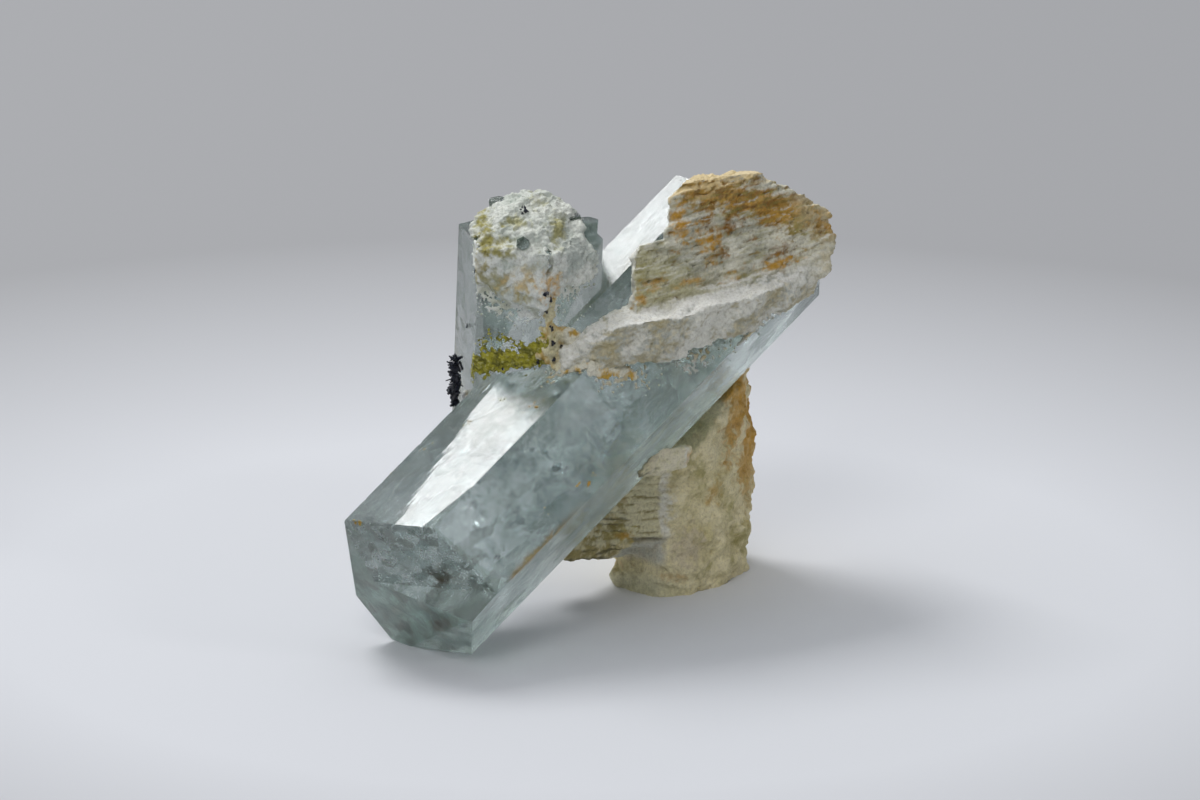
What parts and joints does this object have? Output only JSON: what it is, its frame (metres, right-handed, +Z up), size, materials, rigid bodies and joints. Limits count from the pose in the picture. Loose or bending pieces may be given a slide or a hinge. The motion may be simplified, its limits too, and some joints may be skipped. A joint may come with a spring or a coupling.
{
  "type": "aquamarine crystal specimen",
  "caption": "Natural mineral specimen: intergrown blue-green beryl prisms on rough feldspar matrix, with a white crust and a tuft of black schorl, resting on its matrix foot.",
  "frame": {"origin": "on the surface that the specimen rests on, below the middle of its box", "axes": "+Z up, +X along the long crystal's plan direction toward its raised end, +Y away from the face that the ledge of matrix is on"},
  "size_m": [0.0377, 0.0149, 0.0273],
  "materials": {
    "aquamarine": "polished",
    "stained_feldspar": "matte",
    "rough_feldspar": "matte",
    "white_crust": "matte",
    "schorl": "satin"
  },
  "bodies": {
    "root": {"aquamarine_crystals": "aquamarine", "feldspar_cap": "stained_feldspar", "feldspar_foot": "rough_feldspar", "crystal_crust": "white_crust", "schorl_tuft": "schorl"}
  },
  "joints": []
}
